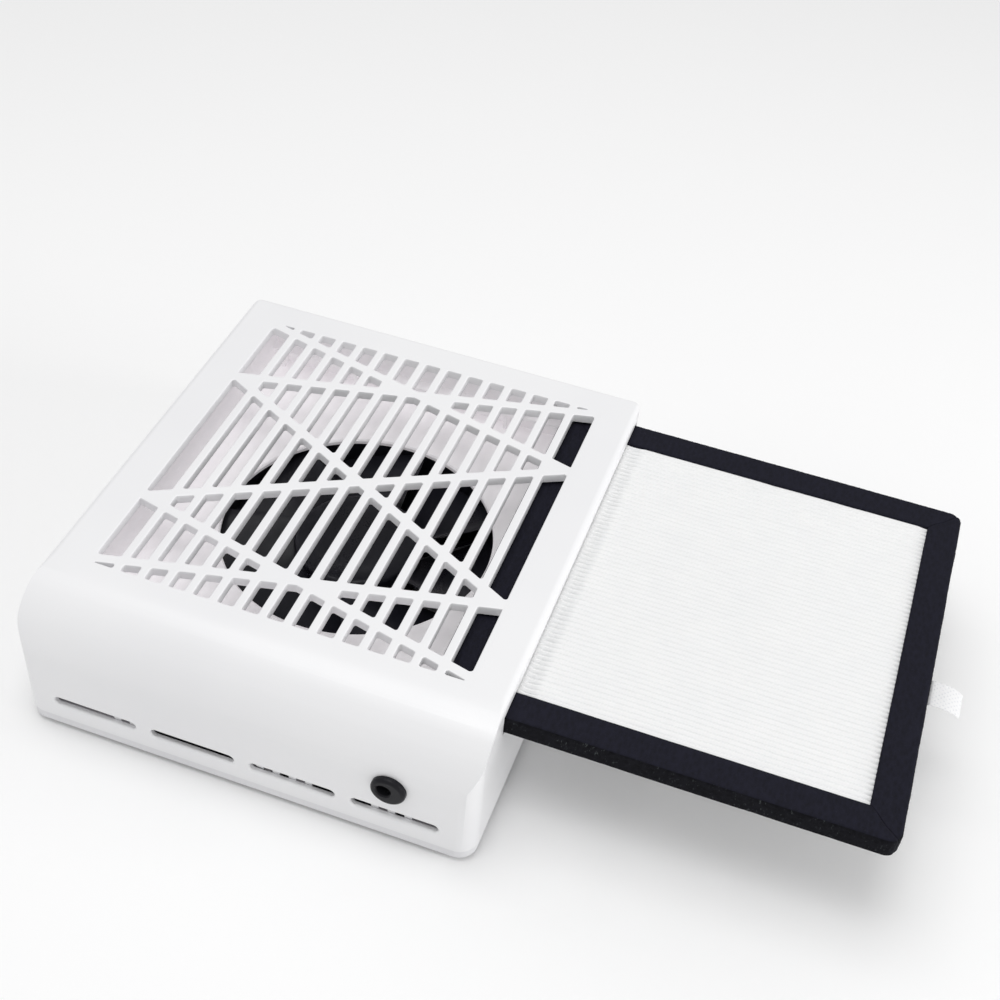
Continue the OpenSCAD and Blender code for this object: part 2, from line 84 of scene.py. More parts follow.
def make_camera():
    az, el, roll = map(math.radians, (AZIMUTH, ELEVATION, ROLL))
    ahead = Vector((-math.sin(az) * math.cos(el), math.cos(az) * math.cos(el), -math.sin(el)))
    level = Vector((math.cos(az), math.sin(az), 0))
    steep = level.cross(ahead)
    right = math.cos(roll) * level + math.sin(roll) * steep
    up = -math.sin(roll) * level + math.cos(roll) * steep
    cam = bpy.data.cameras.new("camera")
    cam.sensor_width = SENSOR
    cam.lens = LENS
    cam.clip_start = 0.01
    obj = bpy.data.objects.new("camera", cam)
    SCENE.collection.objects.link(obj)
    x, y, z = CAMERA_PLACE
    obj.matrix_world = Matrix((
        (right.x, up.x, -ahead.x, x),
        (right.y, up.y, -ahead.y, y),
        (right.z, up.z, -ahead.z, z),
        (0, 0, 0, 1)))
    SCENE.camera = obj


def area_light(name, place, target, size, power):
    lamp = bpy.data.lights.new(name, "AREA")
    lamp.shape = "RECTANGLE"
    lamp.size, lamp.size_y = size
    lamp.energy = power
    obj = bpy.data.objects.new(name, lamp)
    obj.location = place
    obj.rotation_euler = (Vector(target) - Vector(place)).to_track_quat("-Z", "Y").to_euler()
    SCENE.collection.objects.link(obj)


def make_light():
    world = bpy.data.worlds.new("studio")
    SCENE.world = world
    world.use_nodes = True
    background = world.node_tree.nodes["Background"]
    background.inputs["Color"].default_value = (1, 1, 1, 1)
    background.inputs["Strength"].default_value = 0.6
    SCENE.view_settings.view_transform = "Standard"
    area_light("key", (-0.15, -0.04, 1.5), (0.05, 0.02, 0), (0.9, 0.9), 5.7)
    area_light("front", (0.12, -0.42, 1.5), (0.0, 0, 0.03), (0.5, 0.5), 2.8)
    area_light("side", (1.55, 0.1, 0.42), (0.1, 0, 0.03), (0.9, 0.7), 9.0)


# ---------- materials ----------

# Inputs and output of the Mix node in its colour mode.
MIX_A, MIX_B, MIX_OUT = 6, 7, 2


class Paint:
    """A Principled material with procedural colour, roughness and relief, in the frame's metres."""

    def __init__(self, name, **sockets):
        self.mat = bpy.data.materials.new(name)
        self.mat.use_nodes = True
        self.tree = self.mat.node_tree
        self.bsdf = self.tree.nodes["Principled BSDF"]
        self.at = self.add("ShaderNodeTexCoord").outputs["Object"]
        for key, value in sockets.items():
            self.bsdf.inputs[key.replace("_", " ")].default_value = value

    def add(self, kind, inputs=(), **props):
        node = self.tree.nodes.new(kind)
        for key, value in props.items():
            setattr(node, key, value)
        for key, value in dict(inputs).items():
            if isinstance(value, bpy.types.NodeSocket):
                self.tree.links.new(value, node.inputs[key])
            else:
                node.inputs[key].default_value = value
        return node

    def stretch(self, x, y, z):
        return self.add("ShaderNodeMapping", {"Vector": self.at, "Scale": (x, y, z)}).outputs[0]

    def noise(self, scale, detail=2.0, rough=0.5, at=None, warp=0.0):
        inputs = {"Vector": at or self.at, "Scale": scale, "Detail": detail}
        inputs.update({"Roughness": rough, "Distortion": warp})
        return self.add("ShaderNodeTexNoise", inputs).outputs["Fac"]

    def cells(self, scale, at=None, feature="F1", jitter=1.0):
        inputs = {"Vector": at or self.at, "Scale": scale, "Randomness": jitter}
        return self.add("ShaderNodeTexVoronoi", inputs, feature=feature).outputs["Distance"]

    def bands(self, scale, warp, direction):
        inputs = {"Vector": self.at, "Scale": scale, "Distortion": warp}
        wave = self.add("ShaderNodeTexWave", inputs, wave_type="BANDS", bands_direction=direction)
        return wave.outputs["Fac"]

    def span(self, value, a, b, c, d):
        inputs = {"Value": value, "From Min": a, "From Max": b, "To Min": c, "To Max": d}
        return self.add("ShaderNodeMapRange", inputs).outputs["Result"]

    def math(self, how, a, b=0.0):
        return self.add("ShaderNodeMath", {0: a, 1: b}, operation=how).outputs[0]

    def blend(self, fac, a, b):
        node = self.add("ShaderNodeMix", {0: fac}, data_type="RGBA")
        for k, value in ((MIX_A, a), (MIX_B, b)):
            if isinstance(value, bpy.types.NodeSocket):
                self.tree.links.new(value, node.inputs[k])
            else:
                node.inputs[k].default_value = (*value, 1)
        return node.outputs[MIX_OUT]

    def bump(self, height, strength, depth, under=None):
        inputs = {"Height": height, "Strength": strength, "Distance": depth}
        if under is not None:
            inputs["Normal"] = under
        return self.add("ShaderNodeBump", inputs).outputs[0]

    def colour(self, socket):
        self.tree.links.new(socket, self.bsdf.inputs["Base Color"])

    def rough(self, socket):
        self.tree.links.new(socket, self.bsdf.inputs["Roughness"])

    def relief(self, socket):
        self.tree.links.new(socket, self.bsdf.inputs["Normal"])


def plastic(name, low, high, rough, grain=0.05, grain_scale=1900, peel=0.03, **sockets):
    """Moulded plastic: faint cloudiness, fine grain, a little unevenness in the gloss."""
    p = Paint(name, **sockets)
    p.colour(p.blend(p.span(p.noise(9, 3), 0.35, 0.65, 0, 1), low, high))
    gloss = p.math("ADD", p.noise(34, 3), p.math("MULTIPLY", p.noise(grain_scale * 0.6, 2), 0.35))
    p.rough(p.span(gloss, 0.35, 1.0, rough[0], rough[1]))
    wave = p.bump(p.noise(130, 2), peel, 0.0006)
    p.relief(p.bump(p.noise(grain_scale, 3, 0.6), grain, 0.00012, wave))
    return p.mat


def metal(name, low, high, rough, line=(1, 1, 1), scale=900, **sockets):
    """Turned or plated metal: fine lines and a patchy shine."""
    p = Paint(name, Metallic=1.0, **sockets)
    p.colour(p.blend(p.noise(160, 3), low, high))
    lines = p.noise(scale, 3, 0.6, p.stretch(*line))
    p.rough(p.span(lines, 0.3, 0.7, rough[0], rough[1]))
    p.relief(p.bump(lines, 0.15, 0.00008))
    return p.mat


def felt(name, low, high, fuzz, scale, shine):
    """Black fibre board: a matt face with short fibres lying every way."""
    sheen = {"Sheen_Weight": 0.03, "Sheen_Roughness": 0.45, "Sheen_Tint": (0.5, 0.52, 0.62, 1)}
    p = Paint(name, Specular_IOR_Level=shine, **sheen)
    strands = p.noise(scale, 4, 0.65, warp=1.2)
    lying = p.cells(scale * 0.7, at=p.stretch(1, 0.45, 1))
    fibres = p.math("ADD", strands, p.math("MULTIPLY", lying, 0.6))
    flecks = p.span(p.noise(scale * 1.7, 3, 0.6, p.stretch(1, 1, 0.5)), 0.62, 0.74, 0, 1)
    board = p.blend(p.span(fibres, 0.35, 1.0, 0, 1), low, high)
    p.colour(p.blend(p.math("MULTIPLY", flecks, fuzz), board, (0.16, 0.18, 0.18)))
    p.rough(p.span(fibres, 0.3, 1.0, 0.62, 0.92))
    soft = p.bump(p.noise(240, 3), 0.25, 0.0005)
    p.relief(p.bump(fibres, 0.35 + fuzz, 0.0003, soft))
    return p.mat


def glow(weight, depth):
    """Sockets of a thin white material that light passes through."""
    radius = (depth, depth, depth)
    return {"Subsurface_Weight": weight, "Subsurface_Radius": radius, "Subsurface_Scale": 1.0}


def paper():
    """White melt-blown fibre paper: soft clouds of density and fine threads."""
    sheen = {"Sheen_Weight": 0.12, "Sheen_Roughness": 0.6, "Specular_IOR_Level": 0.25}
    p = Paint("filter_paper", **glow(0.35, 0.0016), **sheen)
    threads = p.noise(1500, 4, 0.7, p.stretch(0.35, 1, 1), warp=1.5)
    clouds = p.noise(85, 3)
    dense = p.math("ADD", p.math("MULTIPLY", threads, 0.45), clouds)
    p.colour(p.blend(p.span(dense, 0.45, 1.05, 0, 1), (0.93, 0.935, 0.94), (0.965, 0.965, 0.962)))
    p.rough(p.span(threads, 0.3, 0.7, 0.72, 0.9))
    p.relief(p.bump(threads, 0.25, 0.0002, p.bump(clouds, 0.2, 0.0008)))
    return p.mat


def cloth_tab():
    """Thin white non-woven: bonded in a small diamond grid of pressed dots."""
    sheen = {"Sheen_Weight": 0.25, "Sheen_Roughness": 0.5, "Specular_IOR_Level": 0.3}
    p = Paint("tab_cloth", **glow(0.3, 0.002), **sheen)
    diagonal = {"Vector": p.at, "Rotation": (0, 0, math.radians(45)), "Scale": (1, 1, 0.2)}
    turned = p.add("ShaderNodeMapping", diagonal).outputs[0]
    dots = p.cells(620, turned, jitter=0.15)
    pressed = p.span(dots, 0.12, 0.3, 0, 1)
    threads = p.noise(2400, 4, 0.7, warp=1.0)
    p.colour(p.blend(pressed, (0.70, 0.71, 0.74), p.blend(threads, (0.78, 0.78, 0.8), (0.88, 0.88, 0.88))))
    p.rough(p.span(pressed, 0, 1, 0.45, 0.85))
    p.relief(p.bump(threads, 0.2, 0.00015, p.bump(pressed, 0.6, 0.0002)))
    return p.mat


def laminated():
    """Stacked iron sheets: fine level lines."""
    p = Paint("lamination", Metallic=0.9)
    sheets = p.bands(320.0, 0.6, "Z")
    p.colour(p.blend(sheets, (0.13, 0.14, 0.15), (0.3, 0.31, 0.32)))
    p.rough(p.span(p.noise(500, 3), 0.3, 0.7, 0.35, 0.6))
    p.relief(p.bump(sheets, 0.4, 0.0002))
    return p.mat


def wound():
    """Enamelled copper wire, wound side by side."""
    p = Paint("copper", Metallic=0.85, Coat_Weight=0.5, Coat_Roughness=0.15)
    turns = p.bands(480.0, 0.3, "DIAGONAL")
    p.colour(p.blend(turns, (0.22, 0.07, 0.025), (0.62, 0.27, 0.12)))
    p.rough(p.span(p.noise(700, 2), 0.3, 0.7, 0.22, 0.4))
    p.relief(p.bump(turns, 0.7, 0.0003))
    return p.mat


def board():
    """Green solder mask with a faint net of tracks under it."""
    p = Paint("board", Coat_Weight=0.4, Coat_Roughness=0.2)
    tracks = p.span(p.cells(210, feature="DISTANCE_TO_EDGE"), 0.03, 0.07, 1, 0)
    p.colour(p.blend(tracks, (0.012, 0.10, 0.035), (0.03, 0.2, 0.075)))
    p.rough(p.span(p.noise(300, 2), 0.3, 0.7, 0.3, 0.5))
    p.relief(p.bump(tracks, 0.3, 0.0001))
    return p.mat


def insulation(name, low, high):
    """A wire's smooth coloured sleeve."""
    p = Paint(name, Coat_Weight=0.15, Coat_Roughness=0.3)
    p.colour(p.blend(p.noise(120, 3), low, high))
    p.rough(p.span(p.noise(900, 2), 0.3, 0.7, 0.35, 0.55))
    p.relief(p.bump(p.noise(1500, 2), 0.1, 0.0001))
    return p.mat


def rubber():
    """Black rubber with a little dust on it."""
    p = Paint("rubber", Specular_IOR_Level=0.35)
    dust = p.span(p.noise(420, 4, 0.7), 0.5, 0.75, 0, 1)
    p.colour(p.blend(dust, (0.018, 0.018, 0.019), (0.06, 0.06, 0.058)))
    p.rough(p.span(p.noise(60, 3), 0.3, 0.7, 0.7, 0.92))
    p.relief(p.bump(p.noise(2200, 3), 0.3, 0.00015))
    return p.mat


def floor_paint():
    """The white surface that the object stands on."""
    p = Paint("floor", Specular_IOR_Level=0.15)
    p.colour(p.blend(p.noise(3, 3), (0.955, 0.955, 0.957), (0.965, 0.965, 0.965)))
    p.rough(p.span(p.noise(20, 2), 0.3, 0.7, 0.75, 0.85))
    p.relief(p.bump(p.noise(800, 2), 0.02, 0.0001))
    return p.mat


def make_materials():
    return {
        "cover_plastic": plastic(
            "cover_plastic", (0.84, 0.84, 0.855), (0.87, 0.87, 0.88), (0.27, 0.40),
            Coat_Weight=0.18, Coat_Roughness=0.16),
        "tray_plastic": plastic(
            "tray_plastic", (0.74, 0.74, 0.76), (0.79, 0.79, 0.805), (0.38, 0.52), grain=0.09),
        # Painted light: a faint glow of its own and a colour lighter than the cover's stand for the very
        # bright inside.
        "deck_plastic": plastic(
            "deck_plastic", (0.925, 0.905, 0.922), (0.945, 0.928, 0.942), (0.36, 0.5),
            grain=0.08, Emission_Color=(1, 0.96, 0.985, 1), Emission_Strength=0.13),
        "black_plastic": plastic(
            "black_plastic", (0.010, 0.010, 0.014), (0.018, 0.018, 0.025), (0.24, 0.38),
            grain=0.08, Specular_IOR_Level=0.22),
        "socket_plastic": plastic(
            "socket_plastic", (0.009, 0.009, 0.011), (0.014, 0.014, 0.017), (0.26, 0.4),
            grain=0.1, grain_scale=3200, Specular_IOR_Level=0.13),
        "rubber": rubber(),
        "steel": metal("steel", (0.42, 0.43, 0.45), (0.60, 0.61, 0.63), (0.22, 0.42)),
        "bearing_steel": metal(
            "bearing_steel", (0.55, 0.56, 0.58), (0.7, 0.71, 0.72), (0.10, 0.22), line=(1, 1, 5)),
        "magnet": plastic(
            "magnet", (0.05, 0.045, 0.045), (0.085, 0.08, 0.08), (0.6, 0.8), grain=0.3, grain_scale=1400),
        "lamination": laminated(),
        "copper": wound(),
        "board": board(),
        "tin": metal("tin", (0.62, 0.62, 0.60), (0.78, 0.77, 0.75), (0.12, 0.28)),
        "wire_red": insulation("wire_red", (0.33, 0.015, 0.015), (0.46, 0.03, 0.028)),
        "wire_black": insulation("wire_black", (0.012, 0.012, 0.013), (0.026, 0.026, 0.028)),
        "filter_frame": felt("filter_frame", (0.004, 0.004, 0.008), (0.013, 0.013, 0.022), 0.06, 900, 0.13),
        "filter_edge": felt("filter_edge", (0.002, 0.002, 0.003), (0.011, 0.011, 0.014), 0.34, 620, 0.05),
        "filter_paper": paper(),
        "tab_cloth": cloth_tab(),
    }


# ---------- pieces ----------

def new_piece(name, verts, faces, slot, body, *stands_for, smooth=True):
    mesh = bpy.data.meshes.new(name)
    mesh.from_pydata([tuple(v) for v in verts], [], [tuple(f) for f in faces])
    mesh.validate()
    obj = bpy.data.objects.new(name, mesh)
    SCENE.collection.objects.link(obj)
    mesh.materials.append(PAINT[slot])
    mesh.polygons.foreach_set("use_smooth", [smooth] * len(mesh.polygons))
    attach(obj, body)
    if stands_for:
        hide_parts(*stands_for)
    return obj


def flared_slots():
    """A cutter for the wide round lips of the four exhaust slots."""
    length, height, level, pitch, lip = 37.8 * MM, 4.5 * MM, 17.8 * MM, 45.2 * MM, 1.3 * MM
    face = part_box("top_cover")[0][1]
    turn = [math.radians(d) for d in (0, 10, 22, 34, 46, 58, 70, 80)]
    slots, per_end = 4, 13
    n = 2 * per_end
    steps = [(lip, -0.6 * MM)]
    steps += [(lip - lip * math.sin(a), lip - lip * math.cos(a)) for a in turn]
    steps += [(-0.15 * MM, lip)]
    verts, faces = [], []
    for k in range(slots):
        base = len(verts)
        for out, deep in steps:
            for side in (1, -1):
                for i in range(per_end):
                    a = math.radians(-90 + 180 * i / (per_end - 1)) + (0 if side > 0 else math.pi)
                    r = height / 2 + out
                    x = (k - (slots - 1) / 2) * pitch + side * (length - height) / 2 + r * math.cos(a)
                    verts.append((x, face + deep, level + r * math.sin(a)))
        for s in range(len(steps) - 1):
            for i in range(n):
                j = (i + 1) % n
                a, b = base + s * n, base + (s + 1) * n
                faces.append((a + i, a + j, b + j, b + i))
        faces.append(tuple(base + i for i in range(n - 1, -1, -1)))
        faces.append(tuple(base + (len(steps) - 1) * n + i for i in range(n)))
    return verts, faces


def carve(mesh, verts, faces):
    """The mesh with the closed cutter taken away from it."""
    tool_mesh = bpy.data.meshes.new("cutter")
    tool_mesh.from_pydata(verts, [], faces)
    tool, body = bpy.data.objects.new("cutter", tool_mesh), bpy.data.objects.new("carved", mesh)
    for obj in (tool, body):
        SCENE.collection.objects.link(obj)
    fix_normals(tool)
    cut = body.modifiers.new("cut", "BOOLEAN")
    cut.object, cut.solver, cut.operation = tool, "EXACT", "DIFFERENCE"
    done = bpy.data.meshes.new_from_object(body.evaluated_get(bpy.context.evaluated_depsgraph_get()))
    for obj in (tool, body):
        bpy.data.objects.remove(obj)
    return done


def cut_window(bm, window):
    """Cuts a box out of the top plate and walls it round; gives back the edges of those walls."""
    (x0, y0), (x1, y1), floor_z = window
    across = [((x, 0, 0), (1, 0, 0)) for x in (x0, x1)]
    along = [((0, y, 0), (0, 1, 0)) for y in (y0, y1)]
    for co, no in across + along:
        high = [g for g in bm.faces if g.calc_center_median().z > floor_z]
        geom = list(dict.fromkeys(part for g in high for part in (g, *g.edges, *g.verts)))
        bmesh.ops.bisect_plane(bm, geom=geom, plane_co=co, plane_no=no, dist=1e-7)
    gone = []
    for g in bm.faces:
        c = g.calc_center_median()
        if c.z > floor_z and x0 < c.x < x1 and y0 < c.y < y1:
            gone.append(g)
    bmesh.ops.delete(bm, geom=gone, context="FACES")
    rim = [e for e in bm.edges if e.is_boundary]
    made = bmesh.ops.bridge_loops(bm, edges=rim)
    return {e for g in made["faces"] for e in g.edges}


def soften(node, slot, width, window=None, cutter=None):
    """A copy of a moulded CAD node with its sharp edges rounded off, as a mould leaves them.

    window is cut out of its top plate and left square; cutter is taken away from it first.
    """
    src = NODES[node]
    bm = bmesh.new()
    bm.from_mesh(src.data)
    if cutter:
        bmesh.ops.remove_doubles(bm, verts=bm.verts, dist=WELD)
        whole = bpy.data.meshes.new("whole")
        bm.to_mesh(whole)
        bm.free()
        bm = bmesh.new()
        bm.from_mesh(carve(whole, *cutter))
    bmesh.ops.remove_doubles(bm, verts=bm.verts, dist=WELD)
    flat = math.radians(0.6)
    bmesh.ops.dissolve_limit(bm, angle_limit=flat, verts=bm.verts, edges=bm.edges, delimit={"NORMAL"})
    cut = cut_window(bm, window) if window else set()
    weight = bm.edges.layers.float.new("bevel_weight_edge")
    for e in bm.edges:
        if e.is_manifold and e.calc_face_angle(0) > math.radians(SHARP):
            if e in cut:
                e.smooth = False
            else:
                e[weight] = 1.0
    mesh = bpy.data.meshes.new(node + "_moulded")
    bm.to_mesh(mesh)
    bm.free()
    mesh.polygons.foreach_set("use_smooth", [True] * len(mesh.polygons))
    mesh.materials.clear()
    mesh.materials.append(PAINT[slot])
    obj = bpy.data.objects.new(mesh.name, mesh)
    SCENE.collection.objects.link(obj)
    bevel = obj.modifiers.new("edge", "BEVEL")
    bevel.width = width
    bevel.segments = 2
    bevel.limit_method = "WEIGHT"
    bevel.miter_outer = "MITER_ARC"
    even = obj.modifiers.new("even_shading", "WEIGHTED_NORMAL")
    even.keep_sharp = True
    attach(obj, src["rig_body"])
    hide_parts(node)
    return obj


make_camera()
make_light()
PAINT = make_materials()

FRAME_LOW, FRAME_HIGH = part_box("filter_bar_left")[0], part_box("filter_bar_right")[1]
FRONT_Y, BACK_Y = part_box("filter_bar_front")[0][1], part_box("filter_bar_back")[1][1]
FILTER_C = Vector(((FRAME_LOW[0] + FRAME_HIGH[0]) / 2, (FRONT_Y + BACK_Y) / 2, 0))
FILTER_Z0, FILTER_Z1 = FRAME_LOW[2], FRAME_HIGH[2]
HALF = (FRAME_HIGH[0] - FRAME_LOW[0]) / 2
BAR = 14 * MM
CORNER = 5.5 * MM

# Points round a bar's section: its outer side, the round above that, and the round below it.
SIDE, UPPER_ROUND, LOWER_ROUND = 9, 4, 3
# Points of the section where fibres grow, from halfway up the side to the top.
ROOTED = (5, 7, 8, 9, 10, 11, 12)
# Steps round each of the bar's two outer corners.
BEND = 9


def jitter(p, scale, seed=0.0):
    """Smooth noise from -1 to 1 at a point."""
    return noise.noise(Vector((p[0] * scale + seed, p[1] * scale - seed, p[2] * scale + 0.37 * seed)))


def bar_ring():
    """The bar's section, as (distance in from the outer edge, height, outward normal), counted round."""
    h = FILTER_Z1 - FILTER_Z0
    ring = []

    def line(a, b, n, normal):
        for i in range(n):
            f = i / n
            ring.append((a[0] + (b[0] - a[0]) * f, a[1] + (b[1] - a[1]) * f, normal))

    ro, ri = 1.1 * MM, 0.6 * MM
    line((0, ro), (0, h - ro), SIDE, (-1, 0))
    for i in range(UPPER_ROUND):
        a = math.radians(90 * i / UPPER_ROUND)
        ring.append((ro - ro * math.cos(a), h - ro + ro * math.sin(a), (-math.cos(a), math.sin(a))))
    line((ro, h), (BAR - ri, h), 12, (0, 1))
    for i in range(3):
        a = math.radians(90 * i / 3)
        ring.append((BAR - ri + ri * math.sin(a), h - ri + ri * math.cos(a), (math.sin(a), math.cos(a))))
    line((BAR, h - ri), (BAR, ri), 6, (1, 0))
    lift = 0.1 * MM
    line((BAR - 0.2 * MM, lift), (ro, lift), 10, (0, -1))
    for i in range(LOWER_ROUND):
        a = math.radians(90 * i / LOWER_ROUND)
        ring.append((ro - ro * math.sin(a), lift + ro - ro * math.cos(a), (-math.sin(a), -math.cos(a))))
    return ring


def bar_outline():
    """The bar's outer edge from above, from one corner to the next, round the filter's middle."""
    straight, count = HALF - CORNER, 150
    run = [-math.radians(45) + math.radians(45) * i / BEND for i in range(BEND)]
    outer = [(straight + CORNER * math.cos(a), -straight + CORNER * math.sin(a)) for a in run]
    outer += [(HALF, -straight + 2 * straight * i / count) for i in range(count + 1)]
    return outer + [(x, -y) for x, y in reversed(outer[:BEND])]


def add_fibres(verts, faces, outer, ring, spin, seed):
    """Adds single fibres that stand out of the bar's outer side and its upper round."""
    m, last = len(ring), len(outer) - 1
    along = spin @ Vector((0, 1, 0))
    draw = random.Random(seed)
    for _ in range(2800):
        k = draw.randrange(1, last - 1)
        i = draw.choice(ROOTED)
        foot = Vector(verts[k * m + i]).lerp(Vector(verts[(k + 1) * m + i]), draw.random())
        nw, nz = ring[i][2]
        at_corner = k <= BEND or k >= last - BEND
        out = spin @ Vector((outer[k][0], outer[k][1] if at_corner else 0.0, 0)).normalized()
        lean = out * (0.2 - nw) + Vector((0, 0, 0.3 + nz)) + along * draw.uniform(-1.1, 1.1)
        tip = foot + lean.normalized() * draw.uniform(0.15, 0.42) * MM  # longer ones touch the rails
        thin = along * draw.uniform(0.025, 0.055) * MM
        verts += [foot - thin, foot + thin, tip]
        faces.append((len(verts) - 3, len(verts) - 2, len(verts) - 1))


def filter_bar(name, node, turn):
    """One mitred bar of felted board: soft edges, a wavy cut at each end, a groove at the seam, fibres."""
    ring, outer = bar_ring(), bar_outline()
    m, last = len(ring), len(outer) - 1
    inner_y, end_y = HALF - BAR, outer[-1][1]
    knee = 70 * MM  # from here to its ends, the bar narrows towards the mitre
    wave, groove, from_end = 0.35 * MM, 0.28 * MM, 8 * MM
    is_left = name == "filter_frame_left"  # it comes close to the stop wall, so nothing stands proud of it
    spin = Matrix.Rotation(math.radians(turn), 3, "Z")
    verts, faces = [], []
    for k, (ox, oy) in enumerate(outer):
        s = math.copysign(1, oy)
        iy = oy if abs(oy) < knee else s * (knee + (abs(oy) - knee) * (inner_y - knee) / (end_y - knee))
        near = max(0.0, 1 - (end_y - abs(oy)) / from_end)
        sink = groove if k in (0, last) else 0.0
        for w, z, (nw, nz) in ring:
            f = w / BAR
            x = ox + (HALF - BAR - ox) * f
            y = oy + (iy - oy) * f
            y += near * wave * math.sin(w / MM * 0.62 + 0.8)
            place = Vector((x, y, z))
            p = spin @ place
            grain, swell = (0.11 * MM, 0.16 * MM) if nw < -0.5 else (0.035 * MM, 0.07 * MM)
            off = grain * jitter(p, 900, turn) + swell * jitter(p, 70, turn + 3)
            if nz < -0.5 or is_left:
                off = min(off, 0.0)
            place.x -= nw * (off - sink)
            place.z += nz * (off - sink)
            p = spin @ place
            verts.append((p.x + FILTER_C.x, p.y + FILTER_C.y, p.z + FILTER_Z0))
    for k in range(last):
        for i in range(m):
            j = (i + 1) % m
            faces.append((k * m + i, k * m + j, (k + 1) * m + j, (k + 1) * m + i))
    faces.append(tuple(range(m - 1, -1, -1)))
    faces.append(tuple(last * m + i for i in range(m)))
    solid = len(faces)
    if not is_left:
        add_fibres(verts, faces, outer, ring, spin, turn)
    obj = new_piece(name, verts, faces, "filter_frame", "filter", node)
    obj.data.materials.append(PAINT["filter_edge"])
    rough = [i < SIDE + 2 or i >= m - LOWER_ROUND for i in range(m)] * last
    rough += [False, False] + [True] * (len(faces) - solid)
    obj.data.polygons.foreach_set("material_index", [int(is_rough) for is_rough in rough])
    fix_normals(obj)
    return obj


def fix_normals(obj):
    bm = bmesh.new()
    bm.from_mesh(obj.data)
    bmesh.ops.recalc_face_normals(bm, faces=bm.faces)
    bm.to_mesh(obj.data)
    bm.free()


def filter_paper():
    """The pleated paper: one folded sheet with round, slightly uneven crests."""
    low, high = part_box("filter_media")
    pleats = 61
    steps = (0, 0.025, 0.06, 0.13, 0.24, 0.4, 0.6, 0.76, 0.87, 0.94, 0.975)
    per = len(steps)
    edge = 0.25 * MM
    x0, x1 = low[0] - edge, high[0] + edge
    y0, y1 = low[1], high[1]
    z0, z1 = low[2] + 0.35 * MM, high[2] - 0.45 * MM
    rows = pleats * per
    spans, pinch_x = 34, 106 * MM  # the crests are narrower along one line near the housing
    places = [x0 + (x1 - x0) * j / spans for j in range(spans + 1)]
    places += [end + side * k * 0.5 * MM for end, side in ((x0, 1), (x1, -1)) for k in range(1, 9)]
    places += [pinch_x + k * 0.55 * MM for k in range(-9, 10)]
    places = sorted(set(places))
    across = len(places) - 1
    verts, faces = [], []
    for i in range(rows + 1):
        for j in range(across + 1):
            x = places[j]
            loose = min(1.0, min(i, rows - i) / (per * 1.5))
            y = y0 + (y1 - y0) * (i // per + steps[i % per]) / pleats
            wander = 0.42 * MM * jitter((x, y, 0), 22, 5) + 0.16 * MM * jitter((x, y * 3, 0), 110, 9)
            wave = math.sin(math.pi * steps[i % per])
            end = max(0.0, 1 - min(x - x0, x1 - x) / (4 * MM))
            pinched = math.exp(-((x - pinch_x) / (2.4 * MM)) ** 2)
            fold = 0.025 + 0.11 * end + 0.34 * pinched
            crest = 1 - 0.04 * max(0.0, jitter((x * 0.6, y * 2.4, 1), 130, 2))
            z = z0 + (z1 - z0) * crest * wave ** fold
            verts.append((x, y + loose * wander, z))
    w = across + 1
    for i in range(rows):
        for j in range(across):
            faces.append((i * w + j, i * w + j + 1, (i + 1) * w + j + 1, (i + 1) * w + j))
    obj = new_piece("filter_paper", verts, faces, "filter_paper", "filter", "filter_media")
    thick = obj.modifiers.new("paper", "SOLIDIFY")
    thick.thickness = 0.3 * MM
    thick.offset = 0
    return obj


def pull_tab():
    """The cloth strip on the filter's end: a glued foot, then out and curling down with a little twist."""
    low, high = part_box("pull_tab")
    t = 0.3 * MM
    foot, top = low[2] + 0.2 * MM, high[2] - t
    bend, level, curl = 1.6 * MM, 4 * MM, 16 * MM
    line = [(low[0] + t, foot + (top - bend - foot) * i / 5) for i in range(5)]
    for a in [math.radians(90 * i / 6) for i in range(6)]:
        line.append((low[0] + t + bend * (1 - math.cos(a)), top - bend + bend * math.sin(a)))
    start = low[0] + t + bend
    line += [(start + level * i / 6, top) for i in range(6)]
    reach = high[0] - start - level - 0.2 * MM
    for i in range(15):
        a = math.asin(min(1, reach / curl)) * i / 14
        line.append((start + level + curl * math.sin(a), top - curl * (1 - math.cos(a))))
    n = 20
    verts, faces = [], []
    for k, (x, z) in enumerate(line):
        out = max(0.0, (x - start) / (12 * MM))
        for j in range(n + 1):
            f = j / n - 0.5
            y = (low[1] + high[1]) / 2 + (high[1] - low[1]) * f * (1 - 0.03 * out)
            droop = 0.8 * MM * out * (2 * f) ** 2 * (0.6 if f > 0 else 1.0)
            lift = out * (0.5 * MM * jitter((x, y, 0), 90, 4) - droop)
            fray = 0.25 * MM * out * jitter((0, y, 0), 400, 6)
            wander = 0.2 * MM * out * jitter((x, y, 1), 300, 7)
            verts.append((x + fray, y + wander, z + lift))
    w = n + 1
    for k in range(len(line) - 1):
        for j in range(n):
            faces.append((k * w + j, (k + 1) * w + j, (k + 1) * w + j + 1, k * w + j + 1))
    obj = new_piece("pull_tab_cloth", verts, faces, "tab_cloth", "filter", "pull_tab")
    thick = obj.modifiers.new("cloth", "SOLIDIFY")
    thick.thickness = 0.35 * MM
    thick.offset = 0
    round_off = obj.modifiers.new("soft", "SUBSURF")
    round_off.levels = round_off.render_levels = 1
    return obj


def lathe(verts, faces, profile, centre, steps=96):
    """Adds a turned shape: profile is a closed ring of (distance from the axis, height)."""
    base = len(verts)
    n = len(profile)
    for s in range(steps):
        a = 2 * math.pi * s / steps
        for r, z in profile:
            verts.append((centre[0] + r * math.cos(a), centre[1] + r * math.sin(a), z))
    for s in range(steps):
        t = (s + 1) % steps
        for i in range(n):
            j = (i + 1) % n
            faces.append((base + s * n + i, base + t * n + i, base + t * n + j, base + s * n + j))


